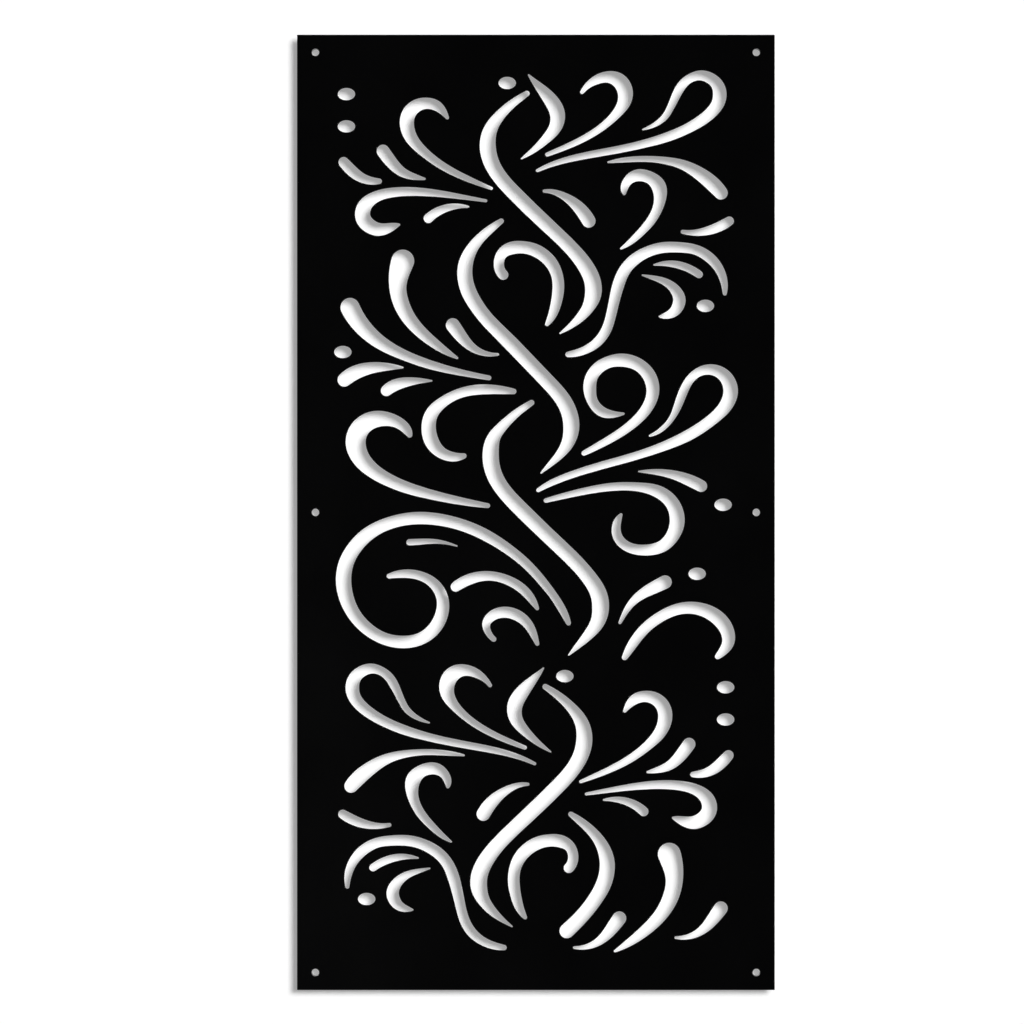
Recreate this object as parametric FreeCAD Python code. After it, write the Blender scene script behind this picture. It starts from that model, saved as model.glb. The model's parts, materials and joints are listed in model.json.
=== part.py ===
import FreeCAD, Part
import math
import os

# A tall sheet-metal privacy screen with a flourish of scrolls, tears and dots cut through it.
# Six bonded stand-offs behind its fixing holes hold it a finger's width off a wall.
# Millimetres. X runs to the right as the screen is looked at, Z up, and the front faces -Y.
# Y = 0 is the back of the sheet, and the origin is the middle of the pattern of holes.

Vector = FreeCAD.Vector

# Sheet
PANEL_WIDTH = 600.0
PANEL_HEIGHT = 1200.0
SHEET_THICKNESS = 2.0
CORNER_RADIUS = 1.0

# Fixing holes: one column along each side, at the top, the middle and the bottom
HOLE_DIAMETER = 9.5
HOLE_INSET_SIDE = 23.0
HOLE_INSET_END = 22.0

# Plain border between the sheet's edges and the outermost cuts
SIDE_BORDER = 46.6
END_BORDER = 44.8

# Stand-offs: a foam ring bonds a nylon sleeve to the sheet, and a rubber pad meets the wall
SLEEVE_WALL = 4.75
SLEEVE_LENGTH = 12.7
SLEEVE_CHAMFER = 0.8
BOND_THICKNESS = 1.1
BOND_MARGIN = 0.75
PAD_THICKNESS = 1.6
PAD_MARGIN = 0.5

# Cuts
DOT_LENGTH = 21.8
DOT_HEIGHT = 15.4
DOT_POINTS = 16
STEPS_PER_SPAN = 3

# Every stroke is the slot that a round brush of changing width leaves: its points are
# (x, z, width) along the middle of the stroke, as drawn on a sheet of the size above.

# Upper figure, which comes again mirrored at the foot of the sheet
UPPER_STROKES = {
    "edge_tear": [
        (-241.5, 440, 13), (-231, 429, 14), (-219, 420.5, 12), (-206, 416.5, 9.5), (-197, 416, 7)],
    "curl_tear": [
        (-192, 454, 16), (-182, 440.5, 15), (-167, 427, 11.5), (-152, 421.5, 7.5), (-140, 419, 3)],
    "corner_curl": [
        (-111.3, 495.8, 4.2), (-117.4, 504.6, 9.5), (-125, 511, 13), (-136.5, 514, 14),
        (-150.5, 510.5, 16), (-160, 500, 17.5), (-162, 487, 17.6), (-156.5, 470.5, 15.5),
        (-141.5, 453.5, 12), (-119.5, 436.7, 10), (-90, 421, 7.8), (-56, 407, 4)],
    "hook": [
        (-63, 391.5, 3.8), (-100, 397.5, 6.8), (-150, 403, 10.5), (-180, 402, 12), (-204, 395, 14.5),
        (-216, 383, 18), (-217, 370, 19), (-208.5, 359.7, 18), (-197, 355.5, 16), (-184, 357.7, 11.5),
        (-172, 361.5, 3)],
    "hook_tear": [(-135, 369.5, 12), (-117, 380.8, 10), (-101, 384.5, 7), (-85, 384, 2.5)],
    "long_s": [
        (-11.4, 526.2, 7), (-29, 514, 10.2), (-45, 499, 13), (-57, 481, 17), (-60.5, 460, 20),
        (-56, 440, 19.5), (-44.5, 420.5, 18.5), (-24, 398, 18.5), (0, 374.5, 18.4), (25.6, 350.6, 18),
        (49.2, 326.7, 18.5), (65, 305, 20), (71.8, 287, 20.8), (71.5, 272, 20), (66.6, 259.2, 15.8),
        (58, 247.4, 12.2), (44, 234.5, 7), (30.5, 225, 2)],
    "top_leaf": [
        (-9, 549.5, 2), (3, 536, 10), (17.9, 518.9, 17.2), (27, 501, 18.8), (25.5, 486.5, 16.5),
        (14, 470.5, 12), (-3, 455, 7), (-18, 444.5, 2)],
    "top_curl": [
        (58, 528, 5), (66, 537, 8), (78.5, 544.5, 12), (91, 547, 14.5), (103.5, 543, 18.4),
        (112, 529.5, 19.2), (111, 516, 16.5), (103.5, 503.5, 12.5), (93.9, 493.2, 10.4),
        (67, 473.5, 8.5), (41, 460.5, 7.2), (14.3, 449.7, 5.2)],
    "top_loop": [
        (134.5, 481, 2), (149.8, 487.4, 5.8), (162, 497, 8), (170, 510.5, 9), (177.2, 525.9, 11),
        (184.6, 537.8, 11.4), (194.6, 545.8, 11), (207, 549, 12.5), (219, 545.5, 14), (228, 537, 15.5),
        (231, 525.5, 17), (228.8, 514.3, 16), (222.1, 504.4, 14.9), (209.8, 493.8, 14),
        (188.8, 481.5, 12.6), (166, 472, 12), (141.5, 464.5, 10.5), (100, 455.2, 9.3), (60.5, 448, 8.5),
        (25, 439, 6.5), (2, 429.5, 4)],
    "loop_tear": [
        (91, 440, 2.5), (113.5, 443, 6.5), (141.5, 444, 7.5), (166, 441.5, 9.5), (186, 436.2, 12.5),
        (203.5, 427, 16), (219.5, 415, 18.5), (232.5, 401.5, 17)],
    "question_curl": [
        (111, 400.5, 4), (111.2, 407.8, 9.2), (115.5, 416.5, 11.5), (125.5, 423, 14.5),
        (136, 423.1, 15.2), (146, 419, 16), (154.2, 409.8, 18.2), (156.1, 396.5, 15.6),
        (152.8, 381.8, 12.6), (145.2, 367.4, 11.3), (131, 351, 9.5), (118.5, 339.5, 7),
        (107, 331.5, 2.5)],
    "fork_tear": [(10.5, 403.7, 4), (20, 403, 6), (37.5, 396, 10), (52, 385, 14.5), (66.4, 366.2, 17)],
    "side_tear": [(184.5, 352.5, 5), (201.5, 351.5, 8), (219.9, 355, 11.4), (243, 366, 11.5)],
    "big_s": [
        (40.5, 198.5, 6.8), (51, 200.3, 9), (66, 206, 10.5), (79.4, 216.1, 12), (88, 228.5, 12.5),
        (94, 246, 12.5), (98.8, 267.5, 13.5), (104, 287, 14.8), (111.5, 304, 14.5), (123, 317, 14.5),
        (139.5, 327, 13.8), (158, 332.5, 13.5), (180.5, 333, 13), (199, 330.5, 12.5), (217, 321, 13),
        (229.5, 307, 11.5), (236.1, 290.5, 9.2), (237.3, 275, 5)],
    "small_crescent": [
        (148.5, 311, 2), (159, 312.5, 5.5), (173.5, 312, 8.6), (188, 308.2, 9.8), (205, 299, 9.5)],
    "round_crescent": [
        (134, 298, 2), (148.5, 294.5, 6), (163.5, 289, 9.5), (176.5, 277.5, 13.5), (180.3, 267, 15.4),
        (178.4, 258.9, 14.8), (172.4, 251.2, 12), (164.4, 247.5, 8.5), (155.5, 246, 2.5)],
    "second_s": [
        (-43.5, 366, 6.5), (-59.5, 354, 10.6), (-73, 341, 12.7), (-84.3, 323.7, 16), (-89, 307, 18.5),
        (-88.5, 292, 19), (-83.8, 276.3, 19), (-75.1, 260.8, 18.2), (-63, 244.5, 17.8),
        (-38.5, 219.5, 18.5), (-10.5, 190.5, 18.8), (16, 163, 18.6), (33.5, 142.3, 19.4),
        (42.3, 123.8, 20), (44.5, 108, 20), (40.4, 88.3, 16), (29, 71.5, 10.5), (15.7, 58.3, 5.8),
        (6.5, 49.5, 1.8)],
    "inner_curl": [
        (-41, 298.5, 12.8), (-46.5, 312, 12.8), (-42, 325.5, 13.5), (-30.4, 332.1, 15.8),
        (-18, 333.2, 15.4), (-1.2, 329.5, 16), (9.9, 322.9, 16), (19.7, 312.7, 15.6),
        (26.2, 299.2, 14.6), (28.2, 281.5, 14.5), (26, 265.5, 13.5), (21.5, 250, 11), (14, 236.5, 5)],
    "fat_tear": [
        (-167.2, 315.8, 28.6), (-171.6, 301.2, 25.5), (-173.5, 284, 21.5), (-170.3, 266, 20),
        (-158.2, 242.2, 17.2), (-133, 216.8, 13.2), (-114.5, 203.3, 9), (-99, 194, 3)],
    "long_tear": [
        (-233.5, 257.5, 24), (-219, 234.8, 21.5), (-197.5, 215, 17.5), (-164.5, 197.2, 13),
        (-134.3, 186, 11.2), (-100, 177, 8.5), (-59, 169, 6)],
    "small_tear": [
        (-104.4, 235.3, 17.4), (-96.5, 224.5, 16), (-86, 212.3, 12.5), (-74, 203.5, 9), (-60.5, 199, 6),
        (-48, 198.5, 3.5)],
}
UPPER_DOTS = [(-238, 525.5), (-238, 485), (-36, 539.5), (213, 259.5)]

# Middle figure, which comes once
MIDDLE_STROKES = {
    "edge_leaf": [
        (-240.6, 166.5, 17.2), (-227, 175.6, 17.6), (-207, 181.5, 14.2), (-190, 182.9, 10.4),
        (-167.5, 182, 2.4)],
    "leaf_tear": [
        (-187.8, 153.1, 14), (-177.6, 159.6, 14.6), (-159, 164.3, 10.8), (-141.5, 165.5, 5.6),
        (-131, 165.3, 2)],
    "open_c": [
        (-28, 152, 7), (-50, 154.3, 11.2), (-74.5, 154.1, 12.6), (-96, 149.6, 12.2),
        (-116, 139.2, 13.4), (-131.2, 123.2, 16.4), (-134.7, 105, 18), (-130.3, 88.2, 17.8),
        (-119.8, 75.8, 14.5), (-106.4, 70.2, 12.2), (-90.5, 71, 6.6)],
    "side_curl": [
        (-158.5, 97.2, 6.5), (-161.8, 103.4, 11.2), (-173.3, 113, 14.4), (-189.3, 117.6, 18),
        (-206.3, 115.8, 21.6), (-220.8, 105.4, 23.8), (-226.4, 89.5, 25), (-222.2, 72.2, 23),
        (-210.3, 57.2, 19.6), (-187.4, 41.9, 16.3), (-159.3, 30.2, 14.3), (-127.5, 21.4, 11.8),
        (-96, 14.5, 9.7), (-60.5, 8.5, 6)],
    "main_s": [
        (-5.5, 137.8, 7), (-24.4, 124.7, 9.8), (-42, 108.2, 12.8), (-53, 93.5, 16.4), (-56.5, 79, 19.8),
        (-56.5, 65, 20.4), (-52.2, 47.5, 19.8), (-40, 27, 19), (-14.5, -0.2, 19.4), (13.3, -27.2, 19),
        (43.4, -55.7, 19), (68.4, -84, 19.4), (79.2, -103.7, 20.8), (81.3, -119.6, 21),
        (78.2, -136, 18.2), (67, -152.6, 13.2), (52.7, -167.7, 7.4), (41.5, -179, 2)],
    "round_nine": [
        (110, 124, 3), (97, 123.2, 8.6), (83.7, 126.2, 12.6), (71.5, 139.1, 13.2), (67.7, 156, 16),
        (70, 170, 15.4), (78.6, 181.6, 15.1), (91.2, 188.8, 14.8), (108, 191.3, 16.4),
        (129.6, 185, 16.2), (142.3, 171.7, 16.8), (147, 153.3, 16), (141.4, 134.3, 14.2),
        (127, 116.3, 12.3), (103, 98, 10.4), (80.1, 84.7, 8.8), (60.5, 74.5, 6.4)],
    "side_loop": [
        (143.3, 96.3, 2.6), (157.5, 104, 5.8), (170.3, 117.7, 7), (179.5, 136.9, 10.3),
        (187.6, 157, 11), (198.4, 172, 10.8), (216, 179.5, 12.7), (236, 172.5, 16),
        (244.7, 153.3, 18.2), (239.4, 135.6, 16.8), (222.7, 117.8, 14.4), (198.5, 100.8, 14.2),
        (163, 84, 11.8), (120.5, 69.5, 10), (80, 58.3, 9.6), (40, 45.6, 8.6), (16.4, 35.6, 7.4),
        (3, 28, 5)],
    "inner_tear": [
        (129.5, 51.4, 2), (150, 50.9, 7), (175, 46.7, 11.4), (195.5, 39.2, 14.8), (207.7, 33.2, 14.8)],
    "cup_hook": [
        (12.6, 15, 5.6), (40.1, 22, 7.8), (70.1, 28.5, 9.2), (103, 32.6, 10.2), (131, 31.7, 11.4),
        (153, 26.3, 15.4), (169.4, 14, 17.2), (176.8, -2, 18.4), (177.5, -11.5, 18.6), (173, -27, 17),
        (159.3, -42.1, 14.9), (138, -47.3, 13.6), (115.6, -43.2, 12.4), (103.6, -32.2, 12),
        (101, -18.2, 10.8), (102.8, -10.8, 9), (107, -2.8, 3.6)],
    "big_spiral": [
        (-184.5, -80, 6), (-164.5, -77, 10.4), (-143.1, -80.4, 11.5), (-125.5, -92.3, 13.5),
        (-117, -110.8, 15), (-118, -126.6, 16), (-127.6, -145.7, 16.1), (-147.3, -159.7, 15.4),
        (-166.3, -162.8, 15.6), (-187.5, -159.6, 15.1), (-210.7, -147, 15.6), (-229.2, -126.6, 16.8),
        (-239, -104, 18.6), (-241.6, -84.3, 19.2), (-238.7, -65, 18.8), (-229, -46, 18),
        (-211, -27.2, 17), (-185.7, -14, 15.4), (-150, -7.2, 15.4), (-120, -9.2, 15),
        (-92.3, -16, 14.6), (-65.8, -27.1, 14.6), (-35.8, -45.5, 13.2), (-10, -66.6, 12),
        (9.7, -88.5, 11), (24.4, -107.8, 10), (34.8, -125.3, 9.5), (41, -139, 6)],
    "spiral_sliver": [
        (-158.8, -37.5, 7.8), (-145, -36.8, 7.4), (-124, -36.6, 5.4), (-110, -39, 3.4),
        (-99.3, -42.2, 1.8)],
    "low_arc": [
        (-100.7, -93.3, 12.6), (-88.7, -86.2, 13.6), (-60, -79.7, 11.8), (-34, -85.7, 11.8),
        (-14.8, -98.1, 11.8), (-4.5, -110.3, 9.5), (1.6, -120.6, 4.6)],
    "low_curl": [
        (-53, -159.2, 6.6), (-60.2, -150, 8.2), (-62.3, -140.2, 10), (-55, -130.1, 12.5),
        (-38.5, -125.4, 13.8), (-21.4, -130.4, 13.6), (-7.8, -143.5, 11.3), (-1.3, -157, 8),
        (1.7, -165, 5)],
    "low_tear": [
        (162.3, -87.5, 16.8), (149.2, -93.9, 15.6), (131.5, -104, 12), (117.4, -117.7, 8.3),
        (110.6, -128.6, 6), (105.7, -138.4, 4)],
    "low_hook": [
        (111.6, -182.2, 7), (120.6, -167, 11.8), (136.8, -146.2, 13), (157.7, -130.4, 13.4),
        (182.1, -120.7, 14.3), (206.8, -121.5, 16), (228.3, -132.4, 18.2), (240.5, -149.5, 17.2),
        (241.5, -163.6, 15), (234.7, -174.7, 10.8), (228.5, -181, 7)],
}
MIDDLE_DOTS = [(-242.5, 201.5), (235.2, 9.6), (202.6, -77.1)]

# Foot of the sheet: the first dot of the upper figure, and where its mirrored repeat has that dot
REPEAT_ANCHORS = ((-238.0, 525.5), (238.4, -219.7))
SECOND_S_POINTS_AT_FOOT = slice(0, 10)
FOOT_TEAR_SHIFT = (127.5, 12.5)


def mirrored(place):
    """A point of the upper figure, (x, z) or (x, z, width), where the repeat at the foot has it."""
    (from_x, from_z), (to_x, to_z) = REPEAT_ANCHORS
    return (to_x + from_x - place[0], place[1] + to_z - from_z) + tuple(place[2:])


def foot_strokes():
    """The upper figure's strokes at the foot: the second S is cut short and one tear comes twice."""
    strokes = dict(UPPER_STROKES)
    strokes["second_s"] = UPPER_STROKES["second_s"][SECOND_S_POINTS_AT_FOOT]
    strokes["long_tear"] = UPPER_STROKES["small_tear"]
    strokes = {name: [mirrored(point) for point in points] for name, points in strokes.items()}
    shift_x, shift_z = FOOT_TEAR_SHIFT
    strokes["long_tear"] = [(x + shift_x, z + shift_z, width) for x, z, width in strokes["long_tear"]]
    return strokes


def brush_outline(points):
    """The two sides and the two rounded tips of a stroke, as lists of points in its drawn place."""
    path = Part.BSplineCurve()
    path.interpolate([Vector(x, width / 2, z) for x, z, width in points])
    steps = (len(points) - 1) * STEPS_PER_SPAN
    left, right, tips = [], [], []
    for step in range(steps + 1):
        span = path.LastParameter - path.FirstParameter
        here, change = path.getD1(path.FirstParameter + span * step / steps)
        speed = math.hypot(change.x, change.z)
        along = Vector(change.x / speed, 0, change.z / speed)
        across = Vector(-along.z, 0, along.x)
        radius, taper = here.y, change.y / speed
        middle = Vector(here.x, 0, here.z)
        lean = along * (-radius * taper)
        reach = across * (radius * math.sqrt(1 - taper ** 2))
        left.append(middle + lean + reach)
        right.append(middle + lean - reach)
        if step in (0, steps):
            tips.append(middle + along * (radius if step else -radius))
    return left, right, tips


def dot_outline(centre):
    """Points round an oval dot."""
    x, z = centre
    turns = [2 * math.pi * step / DOT_POINTS for step in range(DOT_POINTS)]
    return [Vector(x + DOT_LENGTH / 2 * math.cos(turn), 0, z + DOT_HEIGHT / 2 * math.sin(turn))
            for turn in turns]


def smooth_edge(points, closed=False):
    """One smooth edge through the points."""
    curve = Part.BSplineCurve()
    curve.interpolate(Points=points, PeriodicFlag=closed)
    return curve.toShape()


def cut_wires():
    """Closed outlines of all the cuts, fitted to the sheet inside its plain border."""
    strokes = [*UPPER_STROKES.values(), *MIDDLE_STROKES.values(), *foot_strokes().values()]
    dots = [*UPPER_DOTS, *MIDDLE_DOTS, *[mirrored(dot) for dot in UPPER_DOTS]]
    outlines = [brush_outline(points) for points in strokes]
    rounds = [dot_outline(centre) for centre in dots]
    drawn = [point for left, right, tips in outlines for point in left + right + tips]
    drawn += [point for points in rounds for point in points]
    fit_x = (PANEL_WIDTH / 2 - SIDE_BORDER) / max(abs(point.x) for point in drawn)
    fit_z = (PANEL_HEIGHT / 2 - END_BORDER) / max(abs(point.z) for point in drawn)

    def fitted(points):
        return [Vector(point.x * fit_x, -SHEET_THICKNESS, point.z * fit_z) for point in points]

    wires = []
    for left, right, tips in outlines:
        left, right, (first_tip, last_tip) = fitted(left), fitted(right), fitted(tips)
        wires.append(Part.Wire([
            smooth_edge(left),
            Part.Arc(left[-1], last_tip, right[-1]).toShape(),
            smooth_edge(right[::-1]),
            Part.Arc(right[0], first_tip, left[0]).toShape()]))
    wires += [Part.Wire(smooth_edge(fitted(points), closed=True)) for points in rounds]
    print("cuts", len(wires), "fit", round(fit_x, 4), round(fit_z, 4))
    return wires


def hole_places():
    """Names and (x, z) places of the fixing holes."""
    across = PANEL_WIDTH / 2 - HOLE_INSET_SIDE
    up = PANEL_HEIGHT / 2 - HOLE_INSET_END
    rows, sides = {"top": up, "mid": 0.0, "bottom": -up}, {"left": -across, "right": across}
    return {f"{row}_{side}": (x, z) for row, z in rows.items() for side, x in sides.items()}


def border_wire():
    """The sheet's outer edge, with its corners eased."""
    edge_x, edge_z = PANEL_WIDTH / 2, PANEL_HEIGHT / 2
    bow = CORNER_RADIUS * (1 - math.sqrt(0.5))
    edges, last = [], None
    for turn_x, turn_z in ((1, 1), (-1, 1), (-1, -1), (1, -1)):
        on_side = Vector(turn_x * edge_x, -SHEET_THICKNESS, turn_z * (edge_z - CORNER_RADIUS))
        on_end = Vector(turn_x * (edge_x - CORNER_RADIUS), -SHEET_THICKNESS, turn_z * edge_z)
        middle = Vector(turn_x * (edge_x - bow), -SHEET_THICKNESS, turn_z * (edge_z - bow))
        start, stop = (on_side, on_end) if turn_x == turn_z else (on_end, on_side)
        if last:
            edges.append(Part.makeLine(last, start))
        edges.append(Part.Arc(start, middle, stop).toShape())
        last = stop
    edges.append(Part.makeLine(last, edges[0].firstVertex().Point))
    return Part.Wire(edges)


def screen_sheet():
    """The cut sheet, extruded from its front face to its back."""
    back = Vector(0, 1, 0)
    holes = [Part.Wire(Part.makeCircle(HOLE_DIAMETER / 2, Vector(x, -SHEET_THICKNESS, z), back))
             for x, z in hole_places().values()]
    cuts = cut_wires()
    face = Part.makeFace([border_wire(), *cuts, *holes], "Part::FaceMakerBullseye")
    if len(face.Faces) != 1 or len(face.Faces[0].Wires) != 1 + len(cuts) + len(holes):
        raise RuntimeError("two cuts of the sheet run into each other")
    return face.Faces[0].extrude(back * SHEET_THICKNESS)


def tube(outer_radius, length, front, place):
    """A tube round a fixing hole, from its front end towards the wall."""
    foot, back = Vector(place[0], front, place[1]), Vector(0, 1, 0)
    solid = Part.makeCylinder(outer_radius, length, foot, back)
    return solid.cut(Part.makeCylinder(HOLE_DIAMETER / 2, length, foot, back))


def spacer_sleeve(front, place):
    """A nylon sleeve with both of its outer rims chamfered."""
    outer_radius = HOLE_DIAMETER / 2 + SLEEVE_WALL
    sleeve = tube(outer_radius, SLEEVE_LENGTH, front, place)
    rims = [edge for edge in sleeve.Edges
            if isinstance(edge.Curve, Part.Circle) and abs(edge.Curve.Radius - outer_radius) < 1e-6]
    return sleeve.makeChamfer(SLEEVE_CHAMFER, rims)


def stand_off(name, place):
    """The three pieces behind one hole, from the back of the sheet to the wall."""
    outer_radius = HOLE_DIAMETER / 2 + SLEEVE_WALL
    wall_end = BOND_THICKNESS + SLEEVE_LENGTH
    return {
        f"{name}_bonding_ring": tube(outer_radius - BOND_MARGIN, BOND_THICKNESS, 0.0, place),
        f"{name}_spacer_sleeve": spacer_sleeve(BOND_THICKNESS, place),
        f"{name}_wall_pad": tube(outer_radius - PAD_MARGIN, PAD_THICKNESS, wall_end, place),
    }


def main():
    pieces = {"screen_sheet": screen_sheet()}
    for name, place in hole_places().items():
        pieces.update(stand_off(name, place))
    os.makedirs("parts", exist_ok=True)
    for node, shape in pieces.items():
        if not shape.isValid() or len(shape.Solids) != 1:
            raise RuntimeError(f"{node} isn't one sound solid")
        shape.exportStep(f"parts/{node}.step")
    sheet = pieces["screen_sheet"]
    open_share = 1 - sheet.Volume / (PANEL_WIDTH * PANEL_HEIGHT * SHEET_THICKNESS)
    print("pieces", len(pieces), "open share", round(open_share, 3))


main()
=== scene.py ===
import json
import math
from typing import NamedTuple

import bmesh
import bpy
from bpy.props import FloatProperty, FloatVectorProperty, IntProperty, PointerProperty
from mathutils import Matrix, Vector
from mathutils.geometry import interpolate_bezier


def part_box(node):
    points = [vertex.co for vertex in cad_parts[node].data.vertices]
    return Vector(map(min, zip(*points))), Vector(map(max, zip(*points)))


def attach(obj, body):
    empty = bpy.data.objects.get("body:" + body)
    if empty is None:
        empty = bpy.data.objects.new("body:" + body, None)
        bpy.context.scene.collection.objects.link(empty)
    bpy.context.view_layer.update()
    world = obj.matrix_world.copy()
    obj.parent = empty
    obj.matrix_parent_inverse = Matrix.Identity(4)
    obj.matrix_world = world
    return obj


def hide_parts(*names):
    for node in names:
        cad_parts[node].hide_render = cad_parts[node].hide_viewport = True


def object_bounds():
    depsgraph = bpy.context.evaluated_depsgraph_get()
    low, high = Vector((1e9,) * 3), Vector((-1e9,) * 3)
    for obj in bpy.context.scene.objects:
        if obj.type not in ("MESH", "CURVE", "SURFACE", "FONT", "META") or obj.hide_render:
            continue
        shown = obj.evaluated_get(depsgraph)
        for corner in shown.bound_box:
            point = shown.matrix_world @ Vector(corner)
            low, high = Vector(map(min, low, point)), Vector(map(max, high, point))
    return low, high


# A wall screen: a tall black sheet with scrolls, tears and dots cut through it, on six stand-offs.
# Metres. X runs to the right as the screen is looked at, Z up, the front faces -Y, the wall is at +Y.

bl_info = {
    "name": "Perforated privacy screen",
    "version": (1, 0, 0),
    "blender": (4, 5, 0),
    "location": "View3D > Sidebar > Privacy Screen",
    "description": "Makes a screen of cut sheet metal with its stand-offs, and the wall that it hangs on",
    "category": "Object",
}

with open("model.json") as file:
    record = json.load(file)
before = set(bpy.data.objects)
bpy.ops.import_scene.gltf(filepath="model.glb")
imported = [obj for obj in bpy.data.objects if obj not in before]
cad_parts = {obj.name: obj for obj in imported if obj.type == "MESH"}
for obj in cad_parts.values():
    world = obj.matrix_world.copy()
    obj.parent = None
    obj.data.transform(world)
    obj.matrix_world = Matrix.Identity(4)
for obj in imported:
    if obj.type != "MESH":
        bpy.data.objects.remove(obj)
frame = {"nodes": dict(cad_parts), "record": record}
CAD_BOX = [list(corner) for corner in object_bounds()]

BODY = "root"
SHEET = "screen_sheet"
PLACES = [f"{row}_{side}" for row in ("top", "mid", "bottom") for side in ("left", "right")]
HOLE_RADIUS = next(mount["dims"]["hole_r_mm"] / 1000
                   for mount in frame["record"]["mounts"] if mount["name"] == "corner_holes")
SHEET_LOW, SHEET_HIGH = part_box(SHEET)
WALL_SIDE = CAD_BOX[1][1]

# Meshes: points nearer than a weld are one point, and the turn stands the XY plane up to face the front
WELD = 1e-5
CAD_WELD = 1e-6
TURN_SEGMENTS = 72
UPRIGHT = (math.pi / 2, 0, 0)

# A smooth outline's handle is a third of its chord, or of so many times the next chord if that is less
CHORD_PER_HANDLE = 3
HANDLE_LIMIT = 4.0

# Noise in the finishes: its detail, and the part of its range that a number or a colour follows
PLAIN_DETAIL = 2.0
RICH_DETAIL = 3.0
NUMBER_RANGE = (0.25, 0.75)
COLOUR_RANGE = (0.3, 0.7)

# Powder coat: a relief is its depth and its strength
COAT_CLOUD_SIZE = 0.14
COAT_ROUGHNESS_SPREAD = 0.05
COAT_GRAIN_RELIEF = (0.00006, 0.5)
COAT_WAVE_RELIEF = (0.00025, 0.6)

# Nylon
NYLON_ROUGHNESS = 0.42
NYLON_ROUGHNESS_SPREAD = 0.06
NYLON_SPECULAR = 0.4
NYLON_CLOUD_SIZE = 0.006
NYLON_CLOUD_SHADE = 0.93
NYLON_SKIN_SIZE = 0.0007
NYLON_SKIN_RELIEF = (0.00004, 0.3)

# Foam
FOAM_ROUGHNESS = 0.92
FOAM_SPECULAR = 0.2
FOAM_CELL_SIZE = 0.0006
FOAM_CELL_SHADE = 0.6
FOAM_CELL_RELIEF = (0.0001, 0.6)

# Rubber
RUBBER_ROUGHNESS = 0.78
RUBBER_ROUGHNESS_SPREAD = 0.08
RUBBER_SPECULAR = 0.3
RUBBER_BLOOM_SIZE = 0.005
RUBBER_BLOOM_SHADE = 1.7
RUBBER_PIT_SIZE = 0.0004
RUBBER_PIT_RELIEF = (0.00005, 0.5)

# Stage: a band goes from the room's last dark direction to its first bright one, as their depths from -1,
# towards the camera, to 1, towards the wall
PAINT_SPECKLE_SIZE = 0.002
PAINT_SPECKLE_SHADE = 0.998
LIT_BAND = (-0.15, 0.25)
MIRRORED_BAND = (-0.84, -0.4)


class SheetSettings(bpy.types.PropertyGroup):
    """Sizes and finish of the cut sheet."""
    edge_round: FloatProperty(
        name="Edge round", description="Radius that the coat leaves on every cut edge",
        default=0.0003, min=0.00001, precision=5, unit="LENGTH")
    rim: FloatProperty(
        name="Rim", description="Flat strip between a rounded edge and the face",
        default=0.0001, min=0.00001, precision=5, unit="LENGTH")
    round_steps: IntProperty(
        name="Round steps", description="Points on the round of a cut edge", default=2, min=1)
    step_turn: FloatProperty(
        name="Step turn", description="Turn of an outline from one of its points to the next",
        default=math.radians(3), min=math.radians(0.5), subtype="ANGLE")
    shortest_step: FloatProperty(
        name="Shortest step", description="Least distance between two points that smooth an outline",
        default=0.001, min=0.0001, precision=4, unit="LENGTH")
    coat_dark: FloatVectorProperty(
        name="Coat, dark grain", description="Darker colour of the powder coat",
        default=(0.0004, 0.0004, 0.0005), min=0, max=1, subtype="COLOR")
    coat_light: FloatVectorProperty(
        name="Coat, light grain", description="Lighter colour of the powder coat",
        default=(0.0011, 0.0011, 0.0012), min=0, max=1, subtype="COLOR")
    coat_roughness: FloatProperty(
        name="Coat roughness", description="Mean roughness of the powder coat",
        default=0.42, min=0, max=1, subtype="FACTOR")
    coat_specular: FloatProperty(
        name="Coat specular", description="Strength of the coat's mirror reflection",
        default=0.16, min=0, max=1, subtype="FACTOR")
    grain_size: FloatProperty(
        name="Grain size", description="Size of the coat's fine texture",
        default=0.0008, min=0.0001, precision=4, unit="LENGTH")
    peel_size: FloatProperty(
        name="Peel size", description="Size of the coat's slow waves",
        default=0.0045, min=0.0005, precision=4, unit="LENGTH")


class StandOffSettings(bpy.types.PropertyGroup):
    """Sizes and colours of the stand-offs."""
    sleeve_round: FloatProperty(
        name="Sleeve round", description="Radius on the moulded sleeve's edges",
        default=0.00025, min=0.00001, precision=5, unit="LENGTH")
    foam_round: FloatProperty(
        name="Foam round", description="Radius on the foam ring's edges",
        default=0.00012, min=0.00001, precision=5, unit="LENGTH")
    foam_bulge: FloatProperty(
        name="Foam bulge", description="How far the squeezed foam swells out at half its thickness",
        default=0.00022, min=0, precision=5, unit="LENGTH")
    pad_round: FloatProperty(
        name="Pad round", description="Radius on the rubber pad's edges",
        default=0.0004, min=0.00001, precision=5, unit="LENGTH")
    round_steps: IntProperty(
        name="Round steps", description="Points on each rounded edge", default=4, min=1)
    nylon: FloatVectorProperty(
        name="Nylon", description="Colour of the nylon sleeves",
        default=(0.25, 0.25, 0.245), min=0, max=1, subtype="COLOR")
    foam: FloatVectorProperty(
        name="Foam", description="Colour of the foam bonding rings",
        default=(0.16, 0.16, 0.17), min=0, max=1, subtype="COLOR")
    rubber: FloatVectorProperty(
        name="Rubber", description="Colour of the rubber wall pads",
        default=(0.022, 0.022, 0.023), min=0, max=1, subtype="COLOR")


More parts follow.
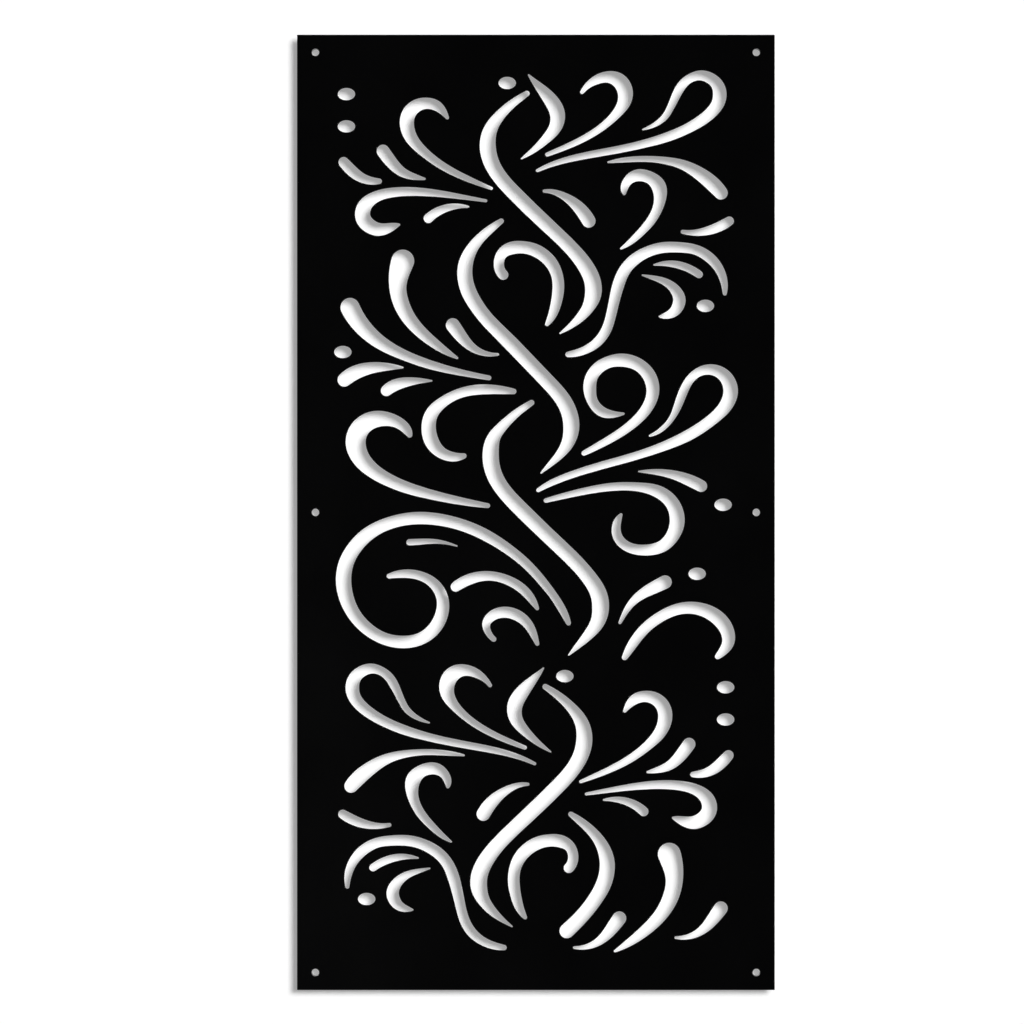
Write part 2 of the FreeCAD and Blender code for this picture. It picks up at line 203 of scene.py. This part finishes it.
class StageSettings(bpy.types.PropertyGroup):
    """Wall, floor, light and camera."""
    wall_reach: FloatProperty(
        name="Wall reach", description="How far the wall goes to each side and up from the screen's middle",
        default=1.4, min=0.7, unit="LENGTH")
    wall_gap: FloatProperty(
        name="Wall gap", description="Clearance between the pads and the wall",
        default=0.0002, min=0, precision=4, unit="LENGTH")
    floor_drop: FloatProperty(
        name="Floor drop", description="Height of the screen's lower edge above the floor",
        default=0.35, min=0, unit="LENGTH")
    floor_depth: FloatProperty(
        name="Floor depth", description="How far the floor comes forward from the wall",
        default=2.5, min=0.5, unit="LENGTH")
    paint: FloatProperty(
        name="Paint", description="Share of the light that the wall and the floor give back",
        default=0.8, min=0, max=1, subtype="FACTOR")
    wall_glow: FloatProperty(
        name="Wall glow", description="What the camera adds to the lit wall to see it white",
        default=0.345, min=0, max=1, subtype="FACTOR")
    floor_glow: FloatProperty(
        name="Floor glow", description="What the camera adds to the lit floor to see it white",
        default=0.5, min=0, max=1, subtype="FACTOR")
    key_side: FloatProperty(
        name="Key side", description="How far the key light goes to the right for each metre of depth",
        default=0.485)
    key_up: FloatProperty(
        name="Key up", description="How far the key light goes up for each metre of depth", default=0.345)
    key_strength: FloatProperty(
        name="Key strength", description="Strength of the key light", default=3.1, min=0)
    lamp_spread: FloatProperty(
        name="Lamp spread", description="Angle that each far lamp covers, which softens its shadow",
        default=math.radians(26), min=0, subtype="ANGLE")
    back_from: FloatVectorProperty(
        name="Back from", description="Where the light behind the screen comes from",
        default=(-0.6, 1.0, 0.7), subtype="XYZ")
    back_strength: FloatProperty(
        name="Back strength", description="Strength of the light behind the screen", default=1.6, min=0)
    side_from: FloatVectorProperty(
        name="Side from", description="Where the light from the right comes from, a little behind the sheet",
        default=(1.0, 0.25, 0.4), subtype="XYZ")
    side_strength: FloatProperty(
        name="Side strength", description="Strength of the light from the right", default=1.3, min=0)
    front_sheen: FloatVectorProperty(
        name="Front sheen", description="Place of the soft box that the front of the coat mirrors",
        default=(-1.25, -1.3, -0.55), subtype="TRANSLATION", unit="LENGTH")
    back_sheen: FloatVectorProperty(
        name="Back sheen", description="Place of the soft box that the back of the coat mirrors",
        default=(1.25, 1.3, -0.35), subtype="TRANSLATION", unit="LENGTH")
    sheen_size: FloatProperty(
        name="Sheen size", description="Side of each soft box", default=0.9, min=0.1, unit="LENGTH")
    sheen_power: FloatProperty(
        name="Sheen power", description="Power of each soft box", default=3.5, min=0)
    side_level: FloatProperty(
        name="Side level", description="Brightness of the room all round", default=0.7, min=0)
    front_level: FloatProperty(
        name="Front level", description="Brightness of the room behind the camera", default=0.0, min=0)
    lens: FloatProperty(
        name="Lens", description="Focal length in millimetres on a sensor 36 mm wide",
        default=200.0, min=20)
    view_width: FloatProperty(
        name="View width", description="Width of the picture at the sheet",
        default=1.2862, min=0.1, unit="LENGTH")
    view_side: FloatProperty(
        name="View side", description="Place of the picture's middle across the screen",
        default=-0.0300, precision=4, unit="LENGTH")
    view_up: FloatProperty(
        name="View up", description="Place of the picture's middle along the screen",
        default=0.0005, precision=4, unit="LENGTH")


class ScreenSettings(bpy.types.PropertyGroup):
    """Everything that a user would change."""
    sheet: PointerProperty(type=SheetSettings)
    stand_offs: PointerProperty(type=StandOffSettings)
    stage: PointerProperty(type=StageSettings)


def set_inputs(tree, node, inputs):
    """Links a node's inputs to sockets, or sets them to values."""
    for name, value in inputs.items():
        if isinstance(value, bpy.types.NodeSocket):
            tree.links.new(value, node.inputs[name])
        else:
            node.inputs[name].default_value = value


def add_node(tree, kind, inputs=None, **settings):
    """A node with its settings made and its inputs set."""
    node = tree.nodes.new(kind)
    for name, value in settings.items():
        setattr(node, name, value)
    set_inputs(tree, node, inputs or {})
    return node


def arithmetic(tree, operation, *values):
    """The result of one sum on sockets or numbers."""
    return add_node(tree, "ShaderNodeMath", dict(enumerate(values)), operation=operation).outputs["Value"]


def new_material(name, roughness, specular):
    """A node material with one surface shader, and the object coordinates to draw on it."""
    material = bpy.data.materials.new(name)
    material.use_nodes = True
    tree = material.node_tree
    tree.nodes.clear()
    shader = add_node(tree, "ShaderNodeBsdfPrincipled", {
        "Roughness": roughness, "Specular IOR Level": specular})
    add_node(tree, "ShaderNodeOutputMaterial", {"Surface": shader.outputs["BSDF"]})
    return material, tree, shader, add_node(tree, "ShaderNodeTexCoord").outputs["Object"]


def noise(tree, where, size, detail=PLAIN_DETAIL):
    """Noise with marks of that size, from 0 to 1."""
    made = add_node(tree, "ShaderNodeTexNoise", {"Vector": where, "Scale": 1 / size, "Detail": detail})
    return made.outputs["Fac"]


def around(tree, factor, mean, spread):
    """A number that follows the factor, from a spread below the mean to a spread above it."""
    low, high = NUMBER_RANGE
    made = add_node(tree, "ShaderNodeMapRange", {
        "Value": factor, "From Min": low, "From Max": high,
        "To Min": mean - spread, "To Max": mean + spread})
    return made.outputs["Result"]


def colour_between(tree, factor, low, high):
    """A colour that follows the factor from low to high."""
    ramp = add_node(tree, "ShaderNodeValToRGB", {"Fac": factor})
    for element, place, colour in zip(ramp.color_ramp.elements, COLOUR_RANGE, (low, high)):
        element.position = place
        element.color = (*colour, 1)
    return ramp.outputs["Color"]


def shaded(colour, share):
    """The colour, made that many times as bright."""
    return [share * part for part in colour]


def bump(tree, height, relief, under=None):
    """Normals of a surface with that relief, on top of another one."""
    depth, strength = relief
    inputs = {"Height": height, "Distance": depth, "Strength": strength}
    if under:
        inputs["Normal"] = under
    return add_node(tree, "ShaderNodeBump", inputs).outputs["Normal"]


def powder_coat(settings):
    """Deep black powder coat: fine grain over slow waves, a little uneven in its colour and sheen."""
    rough = settings.coat_roughness
    material, tree, shader, where = new_material("powder_coat", rough, settings.coat_specular)
    grain = noise(tree, where, settings.grain_size, RICH_DETAIL)
    waves = noise(tree, where, settings.peel_size)
    clouds = noise(tree, where, COAT_CLOUD_SIZE, RICH_DETAIL)
    set_inputs(tree, shader, {
        "Base Color": colour_between(tree, grain, settings.coat_dark, settings.coat_light),
        "Roughness": around(tree, clouds, rough, COAT_ROUGHNESS_SPREAD),
        "Normal": bump(tree, grain, COAT_GRAIN_RELIEF, bump(tree, waves, COAT_WAVE_RELIEF))})
    return material


def moulded_nylon(colour):
    """Moulded grey nylon: a little cloudy, with a waxy skin."""
    material, tree, shader, where = new_material("moulded_nylon", NYLON_ROUGHNESS, NYLON_SPECULAR)
    clouds = noise(tree, where, NYLON_CLOUD_SIZE, RICH_DETAIL)
    skin = noise(tree, where, NYLON_SKIN_SIZE)
    set_inputs(tree, shader, {
        "Base Color": colour_between(tree, clouds, shaded(colour, NYLON_CLOUD_SHADE), colour),
        "Roughness": around(tree, clouds, NYLON_ROUGHNESS, NYLON_ROUGHNESS_SPREAD),
        "Normal": bump(tree, skin, NYLON_SKIN_RELIEF)})
    return material


def bond_foam(colour):
    """Closed-cell foam tape: matt grey with small cells."""
    material, tree, shader, where = new_material("bond_foam", FOAM_ROUGHNESS, FOAM_SPECULAR)
    cells = add_node(tree, "ShaderNodeTexVoronoi", {"Vector": where, "Scale": 1 / FOAM_CELL_SIZE})
    depth = cells.outputs["Distance"]
    set_inputs(tree, shader, {
        "Base Color": colour_between(tree, depth, colour, shaded(colour, FOAM_CELL_SHADE)),
        "Normal": bump(tree, depth, FOAM_CELL_RELIEF)})
    return material


def pad_rubber(colour):
    """Black rubber: matt, finely pitted, with a dusty bloom."""
    material, tree, shader, where = new_material("pad_rubber", RUBBER_ROUGHNESS, RUBBER_SPECULAR)
    bloom = noise(tree, where, RUBBER_BLOOM_SIZE, RICH_DETAIL)
    pits = noise(tree, where, RUBBER_PIT_SIZE)
    set_inputs(tree, shader, {
        "Base Color": colour_between(tree, bloom, colour, shaded(colour, RUBBER_BLOOM_SHADE)),
        "Roughness": around(tree, bloom, RUBBER_ROUGHNESS, RUBBER_ROUGHNESS_SPREAD),
        "Normal": bump(tree, pits, RUBBER_PIT_RELIEF)})
    return material


def new_shape_tree(name, sizes):
    """A geometry tree with named inputs, and the sockets that give them."""
    tree = bpy.data.node_groups.new(name, "GeometryNodeTree")
    kinds = {"Geometry": "NodeSocketGeometry", **sizes, "Material": "NodeSocketMaterial"}
    for label, kind in kinds.items():
        tree.interface.new_socket(label, in_out="INPUT", socket_type=kind)
    tree.interface.new_socket("Geometry", in_out="OUTPUT", socket_type="NodeSocketGeometry")
    return tree, tree.nodes.new("NodeGroupInput").outputs


def end_shape_tree(tree, shape, material):
    """Ends a geometry tree with real, painted geometry."""
    real = add_node(tree, "GeometryNodeRealizeInstances", {"Geometry": shape})
    painted = add_node(tree, "GeometryNodeSetMaterial", {
        "Geometry": real.outputs["Geometry"], "Material": material})
    add_node(tree, "NodeGroupOutput", {"Geometry": painted.outputs["Geometry"]})
    return tree


def perforated_plate_tree():
    """A plate with rounded cut edges, from outlines in the XY plane that have the metal on their left."""
    tree, given = new_shape_tree("perforated_plate", {
        "Thickness": "NodeSocketFloat", "Edge Round": "NodeSocketFloat", "Rim": "NodeSocketFloat",
        "Round Steps": "NodeSocketInt"})
    thickness = given["Thickness"]
    reach = arithmetic(tree, "ADD", given["Edge Round"], given["Rim"])
    inset = arithmetic(tree, "MULTIPLY", reach, -1.0)
    paths = add_node(tree, "GeometryNodeSetCurveNormal", {"Curve": given["Geometry"]}, mode="Z_UP")
    outlines = paths.outputs["Curve"]

    # The flat faces stop short of the cut edges
    outwards = add_node(tree, "GeometryNodeInputNormal").outputs["Normal"]
    inwards = add_node(tree, "ShaderNodeVectorMath", {0: outwards, "Scale": inset}, operation="SCALE")
    rims = add_node(tree, "GeometryNodeSetPosition", {
        "Geometry": outlines, "Offset": inwards.outputs["Vector"]})
    face = add_node(tree, "GeometryNodeFillCurve", {"Curve": rims.outputs["Geometry"]}, mode="TRIANGLES")
    flat = add_node(tree, "GeometryNodeSetShadeSmooth", {
        "Geometry": face.outputs["Mesh"], "Shade Smooth": False}).outputs["Geometry"]
    lift = add_node(tree, "ShaderNodeCombineXYZ", {"Z": thickness}).outputs["Vector"]
    front = add_node(tree, "GeometryNodeTransform", {
        "Geometry": flat, "Translation": lift}).outputs["Geometry"]
    back = add_node(tree, "GeometryNodeFlipFaces", {"Mesh": flat}).outputs["Mesh"]

    # The wall of a cut goes from the front face to the back one, rounded at both of its edges.
    # A section's Y axis points down from the plane of its path.
    top = arithmetic(tree, "MULTIPLY", thickness, -1.0)
    corners = [(inset, top), (0.0, top), (0.0, 0.0), (inset, 0.0)]
    points = [add_node(tree, "ShaderNodeCombineXYZ", {"X": across, "Y": up}).outputs["Vector"]
              for across, up in corners]
    section = add_node(tree, "GeometryNodeCurvePrimitiveQuadrilateral", {
        f"Point {number}": point for number, point in enumerate(points, 1)}, mode="POINTS")
    opened = add_node(tree, "GeometryNodeSetSplineCyclic", {
        "Geometry": section.outputs["Curve"], "Cyclic": False})
    rounded = add_node(tree, "GeometryNodeFilletCurve", {
        "Curve": opened.outputs["Geometry"], "Count": given["Round Steps"], "Radius": given["Edge Round"]},
        mode="POLY")
    walls = add_node(tree, "GeometryNodeCurveToMesh", {
        "Curve": outlines, "Profile Curve": rounded.outputs["Curve"]})
    smooth = add_node(tree, "GeometryNodeSetShadeSmooth", {
        "Geometry": walls.outputs["Mesh"], "Shade Smooth": True}).outputs["Geometry"]

    joined = add_node(tree, "GeometryNodeJoinGeometry")
    for part in (front, back, smooth):
        tree.links.new(part, joined.inputs["Geometry"])
    welded = add_node(tree, "GeometryNodeMergeByDistance", {
        "Geometry": joined.outputs["Geometry"], "Distance": WELD})
    upright = add_node(tree, "GeometryNodeTransform", {
        "Geometry": welded.outputs["Geometry"], "Rotation": UPRIGHT})
    return end_shape_tree(tree, upright.outputs["Geometry"], given["Material"])


def turned_ring_tree():
    """A ring turned round a hole, from its section: X goes outwards from the bore, Y towards the wall."""
    tree, given = new_shape_tree("turned_ring", {
        "Bore Radius": "NodeSocketFloat", "Edge Round": "NodeSocketFloat", "Round Steps": "NodeSocketInt",
        "Segments": "NodeSocketInt", "Place": "NodeSocketVector"})
    rounded = add_node(tree, "GeometryNodeFilletCurve", {
        "Curve": given["Geometry"], "Count": given["Round Steps"], "Radius": given["Edge Round"],
        "Limit Radius": True}, mode="POLY")
    bore = add_node(tree, "GeometryNodeCurvePrimitiveCircle", {
        "Resolution": given["Segments"], "Radius": given["Bore Radius"]}, mode="RADIUS")
    path = add_node(tree, "GeometryNodeSetCurveNormal", {"Curve": bore.outputs["Curve"]}, mode="Z_UP")
    ring = add_node(tree, "GeometryNodeCurveToMesh", {
        "Curve": path.outputs["Curve"], "Profile Curve": rounded.outputs["Curve"]})
    placed = add_node(tree, "GeometryNodeTransform", {
        "Geometry": ring.outputs["Mesh"], "Rotation": UPRIGHT, "Translation": given["Place"]})
    return end_shape_tree(tree, placed.outputs["Geometry"], given["Material"])


def closed_curve(name, outlines):
    """A curve object's data with one closed line for each outline."""
    curve = bpy.data.curves.new(name, "CURVE")
    curve.dimensions = "3D"
    for outline in outlines:
        spline = curve.splines.new("POLY")
        spline.points.add(len(outline) - 1)
        for point, place in zip(spline.points, outline):
            point.co = (*place, 1)
        spline.use_cyclic_u = True
    return curve


def check_closed(name, mesh):
    """Raises an error if a piece's mesh has a gap in it or is inside out."""
    shape = bmesh.new()
    shape.from_mesh(mesh)
    gaps = sum(not edge.is_manifold for edge in shape.edges)
    volume = shape.calc_volume(signed=True)
    shape.free()
    if gaps or volume <= 0:
        raise RuntimeError(f"{name} has {gaps} open edges and a volume of {volume}")


def grow(name, outlines, tree, values):
    """A piece with the plain mesh that a tree makes from its outlines."""
    maker = bpy.data.objects.new(f"{name}_outlines", closed_curve(name, outlines))
    bpy.context.scene.collection.objects.link(maker)
    modifier = maker.modifiers.new(tree.name, "NODES")
    modifier.node_group = tree
    for socket in tree.interface.items_tree:
        if socket.in_out == "INPUT" and socket.name in values:
            modifier[socket.identifier] = values[socket.name]
    mesh = bpy.data.meshes.new_from_object(maker.evaluated_get(bpy.context.evaluated_depsgraph_get()))
    bpy.data.objects.remove(maker)
    check_closed(name, mesh)
    piece = bpy.data.objects.new(f"{name}_piece", mesh)
    bpy.context.scene.collection.objects.link(piece)
    return piece


def dress(piece, node):
    """Puts a finished piece in the place of its CAD node."""
    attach(piece, BODY)
    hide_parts(node)


def front_outlines(node):
    """Outlines round a CAD plate's front face, as points in the XY plane with the metal on the left."""
    plate = bmesh.new()
    plate.from_mesh(frame["nodes"][node].data)
    bmesh.ops.remove_doubles(plate, verts=plate.verts, dist=CAD_WELD)
    front = min(vert.co.y for vert in plate.verts) + WELD
    faces = [face for face in plate.faces if all(vert.co.y < front for vert in face.verts)]
    inside = set(faces)
    following = {}
    for face in faces:
        for corner in face.loops:
            if not inside.issuperset(corner.edge.link_faces):
                following[corner.vert] = corner.link_loop_next.vert
    outlines = []
    while following:
        first, here = following.popitem()
        outline = [first]
        while here is not first:
            outline.append(here)
            here = following.pop(here)
        outlines.append([Vector((vert.co.x, vert.co.z, 0)) for vert in outline])
    plate.free()
    return outlines


def tangent(before, here, after):
    """Direction of an outline at a point, nearer to the shorter of its two chords there."""
    back, ahead = here - before, after - here
    return (back * (ahead.length / back.length) + ahead * (back.length / ahead.length)).normalized()


def smoothed(outline, step_turn, shortest_step):
    """The outline with points of a smooth curve put in where its chords are long and turn."""
    points = []
    for index, start in enumerate(outline):
        before, end, after = (outline[(index + step) % len(outline)] for step in (-1, 1, 2))
        chord = (end - start).length
        leaving, arriving = tangent(before, start, end), tangent(start, end, after)
        steps = max(1, min(math.ceil(leaving.angle(arriving) / step_turn), int(chord / shortest_step)))
        first_reach = min(chord, HANDLE_LIMIT * (start - before).length) / CHORD_PER_HANDLE
        last_reach = min(chord, HANDLE_LIMIT * (after - end).length) / CHORD_PER_HANDLE
        points += interpolate_bezier(
            start, start + leaving * first_reach, end - arriving * last_reach, end, steps + 1)[:-1]
    return points


class PRIVACY_SCREEN_OT_sheet(bpy.types.Operator):
    """Makes the cut sheet with its rounded edges and its powder coat"""
    bl_idname = "privacy_screen.sheet"
    bl_label = "Cut sheet"

    def execute(self, context):
        settings = context.scene.privacy_screen.sheet
        outlines = [smoothed(outline, settings.step_turn, settings.shortest_step)
                    for outline in front_outlines(SHEET)]
        piece = grow(SHEET, outlines, perforated_plate_tree(), {
            "Thickness": SHEET_HIGH.y - SHEET_LOW.y, "Edge Round": settings.edge_round, "Rim": settings.rim,
            "Round Steps": settings.round_steps, "Material": powder_coat(settings)})
        dress(piece, SHEET)
        return {"FINISHED"}


class RingSize(NamedTuple):
    """What a ring measures along its axis, through its wall and across its end face."""
    length: float
    wall: float
    face: float


def ring_size(node):
    """The sizes of a ring's CAD node."""
    low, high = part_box(node)
    end = [vert.co.x for vert in frame["nodes"][node].data.vertices if vert.co.y < low.y + WELD]
    face = max(end) - (low.x + high.x) / 2 - HOLE_RADIUS
    return RingSize(high.y - low.y, (high.x - low.x) / 2 - HOLE_RADIUS, face)


def foam_section(size, bulge):
    """Section of a foam ring, swollen at half its thickness."""
    return [(0, 0), (size.wall, 0), (size.wall + bulge, size.length / 2), (size.wall, size.length),
            (0, size.length)]


def sleeve_section(size):
    """Section of a sleeve, chamfered at both ends."""
    chamfer = size.wall - size.face
    return [(0, 0), (size.face, 0), (size.wall, chamfer), (size.wall, size.length - chamfer),
            (size.face, size.length), (0, size.length)]


def pad_section(size):
    """Section of a pad."""
    return [(0, 0), (size.wall, 0), (size.wall, size.length), (0, size.length)]


def make_rings(kind, section, edge_round, round_steps, material):
    """One turned piece of a kind behind each hole, with the section that its sizes give."""
    tree = turned_ring_tree()
    pieces = []
    for place in PLACES:
        node = f"{place}_{kind}"
        low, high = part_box(node)
        middle = (low + high) / 2
        outline = [Vector((across, along, 0)) for across, along in section(ring_size(node))]
        piece = grow(node, [outline], tree, {
            "Bore Radius": HOLE_RADIUS, "Edge Round": edge_round, "Round Steps": round_steps,
            "Segments": TURN_SEGMENTS, "Place": (middle.x, low.y, middle.z), "Material": material})
        dress(piece, node)
        pieces.append(piece)
    return pieces


class PRIVACY_SCREEN_OT_bonding_rings(bpy.types.Operator):
    """Makes the squeezed foam rings that bond the sleeves to the sheet"""
    bl_idname = "privacy_screen.bonding_rings"
    bl_label = "Bonding rings"

    def execute(self, context):
        settings = context.scene.privacy_screen.stand_offs

        def section(size):
            return foam_section(size, settings.foam_bulge)

        rings = make_rings(
            "bonding_ring", section, settings.foam_round, settings.round_steps,
            bond_foam(settings.foam))
        return {"FINISHED"}


class PRIVACY_SCREEN_OT_spacer_sleeves(bpy.types.Operator):
    """Makes the moulded nylon sleeves, chamfered at both ends"""
    bl_idname = "privacy_screen.spacer_sleeves"
    bl_label = "Spacer sleeves"

    def execute(self, context):
        settings = context.scene.privacy_screen.stand_offs
        make_rings(
            "spacer_sleeve", sleeve_section, settings.sleeve_round, settings.round_steps,
            moulded_nylon(settings.nylon))
        return {"FINISHED"}


class PRIVACY_SCREEN_OT_wall_pads(bpy.types.Operator):
    """Makes the rubber pads that meet the wall"""
    bl_idname = "privacy_screen.wall_pads"
    bl_label = "Wall pads"

    def execute(self, context):
        settings = context.scene.privacy_screen.stand_offs
        make_rings(
            "wall_pad", pad_section, settings.pad_round, settings.round_steps,
            pad_rubber(settings.rubber))
        return {"FINISHED"}


def stage_paint(name, share, glow):
    """White paint that shows shadows, seen from its front only and white where the lamps reach it."""
    material = bpy.data.materials.new(name)
    material.use_nodes = True
    tree = material.node_tree
    tree.nodes.clear()
    light_path = add_node(tree, "ShaderNodeLightPath")
    where = add_node(tree, "ShaderNodeTexCoord").outputs["Object"]
    white = [share] * 3
    speckle = colour_between(
        tree, noise(tree, where, PAINT_SPECKLE_SIZE), shaded(white, PAINT_SPECKLE_SHADE), white)
    paint = add_node(tree, "ShaderNodeBsdfDiffuse", {"Color": speckle})
    strength = arithmetic(tree, "MULTIPLY", light_path.outputs["Is Camera Ray"], glow)
    shine = add_node(tree, "ShaderNodeEmission", {"Strength": strength})
    lit = add_node(tree, "ShaderNodeAddShader", {0: paint.outputs["BSDF"], 1: shine.outputs["Emission"]})
    clear = add_node(tree, "ShaderNodeBsdfTransparent")
    behind = add_node(tree, "ShaderNodeNewGeometry").outputs["Backfacing"]
    seen = add_node(tree, "ShaderNodeMixShader", {
        0: behind, 1: lit.outputs["Shader"], 2: clear.outputs["BSDF"]})
    add_node(tree, "ShaderNodeOutputMaterial", {"Surface": seen.outputs["Shader"]})
    return material


def stage_board(name, corners, material):
    """A flat board of the stage, which only the camera sees."""
    mesh = bpy.data.meshes.new(name)
    mesh.from_pydata(corners, [], [(0, 1, 2, 3)])
    mesh.materials.append(material)
    board = bpy.data.objects.new(name, mesh)
    board.visible_shadow = False
    board.visible_diffuse = False
    board.visible_glossy = False
    bpy.context.scene.collection.objects.link(board)


def room_light(settings):
    """A white room to the camera; as a light, bright all round and dark behind the camera."""
    world = bpy.data.worlds.new("room")
    world.use_nodes = True
    tree = world.node_tree
    tree.nodes.clear()
    light_path = add_node(tree, "ShaderNodeLightPath")
    towards = add_node(tree, "ShaderNodeTexCoord").outputs["Generated"]
    depth = add_node(tree, "ShaderNodeSeparateXYZ", {"Vector": towards}).outputs["Y"]

    def level(band):
        dark_until, bright_from = band
        made = add_node(tree, "ShaderNodeMapRange", {
            "Value": depth, "From Min": dark_until, "From Max": bright_from, "To Min": settings.front_level,
            "To Max": settings.side_level}, interpolation_type="SMOOTHSTEP")
        return made.outputs["Result"]

    def chosen(ray, usual, special):
        made = add_node(tree, "ShaderNodeMix", {
            "Factor": light_path.outputs[ray], "A": usual, "B": special}, data_type="FLOAT")
        return made.outputs["Result"]

    lit = chosen("Is Glossy Ray", level(LIT_BAND), level(MIRRORED_BAND))
    light = add_node(tree, "ShaderNodeBackground", {
        "Color": (1, 1, 1, 1), "Strength": chosen("Is Camera Ray", lit, 1.0)})
    add_node(tree, "ShaderNodeOutputWorld", {"Surface": light.outputs["Background"]})
    bpy.context.scene.world = world


def far_lamp(name, towards, strength, spread):
    """A large lamp far away in one direction from the screen."""
    lamp = bpy.data.lights.new(name, "SUN")
    lamp.energy = strength
    lamp.angle = spread
    placed = bpy.data.objects.new(name, lamp)
    placed.rotation_euler = Vector(towards).to_track_quat("Z", "Y").to_euler()
    bpy.context.scene.collection.objects.link(placed)
    return placed


def soft_box(name, place, size, power):
    """A square lamp near the screen that only shows as a reflection in its coat."""
    lamp = bpy.data.lights.new(name, "AREA")
    lamp.energy = power
    lamp.size = size
    placed = bpy.data.objects.new(name, lamp)
    placed.location = place
    placed.rotation_euler = Vector(place).to_track_quat("Z", "Y").to_euler()
    placed.visible_diffuse = False
    bpy.context.scene.collection.objects.link(placed)


def stage_camera(settings):
    """A camera square to the sheet, so far away that the picture has its width there."""
    camera = bpy.data.cameras.new("camera")
    camera.lens = settings.lens
    distance = settings.view_width * settings.lens / camera.sensor_width
    placed = bpy.data.objects.new("camera", camera)
    placed.location = (settings.view_side, SHEET_LOW.y - distance, settings.view_up)
    placed.rotation_euler = UPRIGHT
    bpy.context.scene.collection.objects.link(placed)
    bpy.context.scene.camera = placed


class PRIVACY_SCREEN_OT_stage(bpy.types.Operator):
    """Makes the wall, the floor, the light and the camera"""
    bl_idname = "privacy_screen.stage"
    bl_label = "Stage"

    def execute(self, context):
        settings = context.scene.privacy_screen.stage
        reach, wall = settings.wall_reach, WALL_SIDE + settings.wall_gap
        floor, near = SHEET_LOW.z - settings.floor_drop, WALL_SIDE - settings.floor_depth
        stage_board("wall", [
            (-reach, wall, floor), (reach, wall, floor), (reach, wall, reach), (-reach, wall, reach)],
            stage_paint("wall_paint", settings.paint, settings.wall_glow))
        stage_board("floor", [
            (-reach, near, floor), (reach, near, floor), (reach, wall, floor), (-reach, wall, floor)],
            stage_paint("floor_paint", settings.paint, settings.floor_glow))
        room_light(settings)
        key_from = (settings.key_side, -1, settings.key_up)
        spread = settings.lamp_spread
        key = far_lamp("key", key_from, settings.key_strength, spread)
        key.visible_glossy = False
        far_lamp("back", settings.back_from, settings.back_strength, spread)
        far_lamp("side", settings.side_from, settings.side_strength, spread)
        soft_box("front_sheen", settings.front_sheen, settings.sheen_size, settings.sheen_power)
        soft_box("back_sheen", settings.back_sheen, settings.sheen_size, settings.sheen_power)
        stage_camera(settings)
        context.scene.view_settings.view_transform = "Standard"
        return {"FINISHED"}


class PRIVACY_SCREEN_PT_pieces(bpy.types.Panel):
    """Lists the pieces and their settings"""
    bl_label = "Privacy Screen"
    bl_idname = "PRIVACY_SCREEN_PT_pieces"
    bl_space_type = "VIEW_3D"
    bl_region_type = "UI"
    bl_category = "Privacy Screen"

    def draw(self, context):
        for operator in OPERATORS:
            self.layout.operator(operator.bl_idname)
        for group in ("sheet", "stand_offs", "stage"):
            box = self.layout.box()
            settings = getattr(context.scene.privacy_screen, group)
            for name in settings.__annotations__:
                box.prop(settings, name)


OPERATORS = (
    PRIVACY_SCREEN_OT_stage,
    PRIVACY_SCREEN_OT_sheet,
    PRIVACY_SCREEN_OT_bonding_rings,
    PRIVACY_SCREEN_OT_spacer_sleeves,
    PRIVACY_SCREEN_OT_wall_pads,
)
GROUPS = (SheetSettings, StandOffSettings, StageSettings, ScreenSettings)
CLASSES = (*GROUPS, *OPERATORS, PRIVACY_SCREEN_PT_pieces)


def register():
    for cls in CLASSES:
        bpy.utils.register_class(cls)
    bpy.types.Scene.privacy_screen = PointerProperty(type=ScreenSettings)


def unregister():
    del bpy.types.Scene.privacy_screen
    for cls in reversed(CLASSES):
        bpy.utils.unregister_class(cls)


def main():
    register()
    bpy.ops.privacy_screen.stage()
    bpy.ops.privacy_screen.sheet()
    bpy.ops.privacy_screen.bonding_rings()
    bpy.ops.privacy_screen.spacer_sleeves()
    bpy.ops.privacy_screen.wall_pads()


if __name__ == "__main__":
    main()
